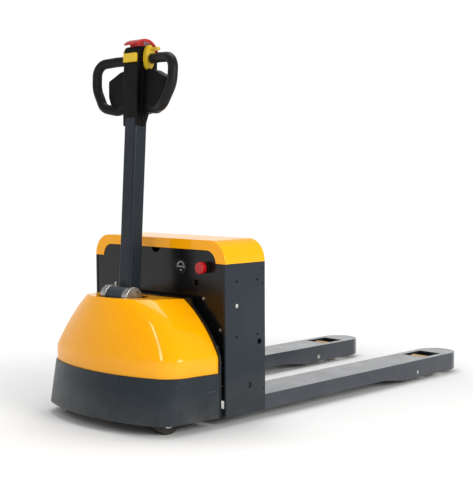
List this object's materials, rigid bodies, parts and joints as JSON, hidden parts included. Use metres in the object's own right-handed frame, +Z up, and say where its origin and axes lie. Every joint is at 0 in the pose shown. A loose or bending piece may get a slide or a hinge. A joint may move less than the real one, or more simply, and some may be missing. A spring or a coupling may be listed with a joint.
{
  "type": "electric pallet truck",
  "caption": "Walk-behind electric pallet truck: domed yellow drive cover, steering tiller with looped handle, battery box and two long forks on load rollers.",
  "frame": {"origin": "centre of the truck's footprint rectangle, on the floor the wheels stand on", "axes": "+X towards the fork tips, +Z up, +Y across the truck to its left as seen looking along the forks"},
  "size_m": [1.725, 0.688, 1.2985],
  "materials": {
    "hood_yellow": "gloss",
    "lid_yellow": "gloss",
    "slate_paint": "satin",
    "skirt_paint": "satin",
    "fork_paint": "satin",
    "arm_paint": "satin",
    "barrel_paint": "satin",
    "panel_black": "satin",
    "head_black": "matte",
    "grip_black": "soft",
    "paddle_yellow": "satin",
    "key_yellow": "satin",
    "button_red": "satin",
    "estop_red": "gloss",
    "black_plastic": "matte",
    "gauge_black": "gloss",
    "dark_steel": "oiled",
    "bright_steel": "brushed",
    "pin_steel": "brushed",
    "cast_grey": "cast",
    "zinc": "zinc plated",
    "motor_black": "satin",
    "pack_grey": "satin",
    "controller_alu": "satin",
    "drive_rubber": "matte",
    "caster_rubber": "matte",
    "roller_tan": "matte",
    "battery_case": "matte",
    "lead": "dull"
  },
  "bodies": {
    "chassis": {"chassis_frame": "panel_black", "drive_skirt": "skirt_paint", "drive_hood": "hood_yellow", "hood_screws": "zinc", "steer_bearing": "bright_steel", "steering_motor": "motor_black", "power_pack": "pack_grey", "motor_controller": "controller_alu", "lift_cylinder": "dark_steel"},
    "drive_unit": {"drive_bracket": "cast_grey", "drive_gearbox": "cast_grey", "drive_axle": "dark_steel", "traction_motor": "motor_black", "steer_gear": "dark_steel"},
    "drive_wheel": {"drive_hub": "cast_grey", "drive_tyre": "drive_rubber"},
    "pinion": {"steer_pinion": "dark_steel"},
    "caster_left": {"caster_fork_left": "zinc"},
    "caster_right": {"caster_fork_right": "zinc"},
    "caster_wheel_left": {"caster_hub_left": "bright_steel", "caster_tyre_left": "caster_rubber"},
    "caster_wheel_right": {"caster_hub_right": "bright_steel", "caster_tyre_right": "caster_rubber"},
    "swivel": {"tiller_swivel": "pin_steel", "pivot_pin": "bright_steel"},
    "tiller": {"tiller_barrel": "barrel_paint", "tiller_arm": "arm_paint", "grease_nipple": "zinc", "head_front_shell": "head_black", "head_rear_shell": "head_black", "handle_loops": "grip_black", "head_screws": "zinc"},
    "throttle": {"throttle_paddles": "paddle_yellow"},
    "key": {"lift_key": "key_yellow"},
    "belly": {"belly_button": "button_red"},
    "carriage": {"carriage_frame": "slate_paint", "front_panel": "panel_black", "fork_left": "fork_paint", "fork_right": "fork_paint", "battery": "battery_case", "battery_terminals": "lead", "lift_bracket": "slate_paint", "piston_rod": "bright_steel", "yoke_pins": "zinc", "estop_base": "black_plastic", "battery_gauge": "gauge_black", "charge_port": "black_plastic", "panel_screws": "zinc", "link_bolts": "bright_steel", "lid_hinges": "dark_steel"},
    "lid": {"battery_lid": "lid_yellow"},
    "estop": {"estop_button": "estop_red"},
    "rocker": {"rocker_shaft": "slate_paint"},
    "rods": {"push_rods": "zinc"},
    "yoke_left": {"load_yoke_left": "dark_steel"},
    "yoke_right": {"load_yoke_right": "dark_steel"},
    "roller_left": {"load_core_left": "dark_steel", "load_tyre_left": "roller_tan"},
    "roller_right": {"load_core_right": "dark_steel", "load_tyre_right": "roller_tan"}
  },
  "joints": [
    {"name": "tiller_steer", "type": "hinge", "parent": "chassis", "child": "swivel", "pos_m": [-0.6995, 0, 0.376], "axis": [0, 0, 1], "range_deg": [-80, 80]},
    {"name": "drive_steer", "type": "hinge", "parent": "chassis", "child": "drive_unit", "pos_m": [-0.7355, 0, 0.262], "axis": [0, 0, 1], "range_deg": [-80, 80]},
    {"name": "pinion_spin", "type": "hinge", "parent": "chassis", "child": "pinion", "pos_m": [-0.66608, 0.08273, 0.27], "axis": [0, 0, 1], "range_deg": [-221, 221]},
    {"name": "drive_wheel_spin", "type": "hinge", "parent": "drive_unit", "child": "drive_wheel", "pos_m": [-0.7355, 0, 0.1], "axis": [0, 1, 0], "continuous": true},
    {"name": "caster_swivel_left", "type": "hinge", "parent": "chassis", "child": "caster_left", "pos_m": [-0.7195, 0.251, 0.11], "axis": [0, 0, 1], "continuous": true},
    {"name": "caster_spin_left", "type": "hinge", "parent": "caster_left", "child": "caster_wheel_left", "pos_m": [-0.7345, 0.251, 0.05], "axis": [0, 1, 0], "continuous": true},
    {"name": "caster_swivel_right", "type": "hinge", "parent": "chassis", "child": "caster_right", "pos_m": [-0.7195, -0.251, 0.11], "axis": [0, 0, 1], "continuous": true},
    {"name": "caster_spin_right", "type": "hinge", "parent": "caster_right", "child": "caster_wheel_right", "pos_m": [-0.7345, -0.251, 0.05], "axis": [0, 1, 0], "continuous": true},
    {"name": "tiller_tilt", "type": "hinge", "parent": "swivel", "child": "tiller", "pos_m": [-0.7075, 0, 0.425], "axis": [0, -1, 0], "range_deg": [0, 85], "stiffness_Nm_per_rad": 40, "springref_deg": -57.3},
    {"name": "throttle_turn", "type": "hinge", "parent": "tiller", "child": "throttle", "pos_m": [-0.60796, 0, 1.23343], "axis": [0, 1, 0], "range_deg": [-25, 25], "stiffness_Nm_per_rad": 2},
    {"name": "lift_key_rock", "type": "hinge", "parent": "tiller", "child": "key", "pos_m": [-0.64601, 0, 1.23375], "axis": [0, 1, 0], "range_deg": [-5, 5], "stiffness_Nm_per_rad": 2},
    {"name": "belly_press", "type": "slide", "parent": "tiller", "child": "belly", "axis": [-0.061, 0, -0.9981], "range_m": [0, 0.008], "stiffness_N_per_m": 1500, "springref_m": -0.004},
    {"name": "fork_lift", "type": "slide", "parent": "chassis", "child": "carriage", "axis": [0, 0, 1], "range_m": [0, 0.12]},
    {"name": "lid_open", "type": "hinge", "parent": "carriage", "child": "lid", "pos_m": [-0.3525, 0, 0.54225], "axis": [0, 1, 0], "range_deg": [0, 80]},
    {"name": "estop_press", "type": "slide", "parent": "carriage", "child": "estop", "axis": [1, 0, 0], "range_m": [0, 0.006]},
    {"name": "rocker_turn", "type": "hinge", "parent": "carriage", "child": "rocker", "pos_m": [-0.4355, 0, 0.1275], "axis": [0, 1, 0], "range_deg": [-34.7, 0]},
    {"name": "push_rod_slide", "type": "slide", "parent": "carriage", "child": "rods", "axis": [1, 0, 0], "range_m": [0, 0.035]},
    {"name": "yoke_swing_left", "type": "hinge", "parent": "carriage", "child": "yoke_left", "pos_m": [0.5465, 0.2635, 0.036], "axis": [0, 1, 0], "range_deg": [0, 65.1]},
    {"name": "roller_spin_left", "type": "hinge", "parent": "yoke_left", "child": "roller_left", "pos_m": [0.67644, 0.2635, 0.04], "axis": [0, 1, 0], "continuous": true},
    {"name": "yoke_swing_right", "type": "hinge", "parent": "carriage", "child": "yoke_right", "pos_m": [0.5465, -0.2635, 0.036], "axis": [0, 1, 0], "range_deg": [0, 65.1]},
    {"name": "roller_spin_right", "type": "hinge", "parent": "yoke_right", "child": "roller_right", "pos_m": [0.67644, -0.2635, 0.04], "axis": [0, 1, 0], "continuous": true}
  ],
  "couplings": [
    {"joint": "drive_steer", "follows": "tiller_steer", "ratio": 1},
    {"joint": "pinion_spin", "follows": "tiller_steer", "ratio": -2.75},
    {"joint": "rocker_turn", "follows": "fork_lift", "rad_per_m": -5.0324},
    {"joint": "push_rod_slide", "follows": "fork_lift", "ratio": 0.28655},
    {"joint": "yoke_swing_left", "follows": "fork_lift", "rad_per_m": 9.4539},
    {"joint": "yoke_swing_right", "follows": "fork_lift", "rad_per_m": 9.4539}
  ]
}
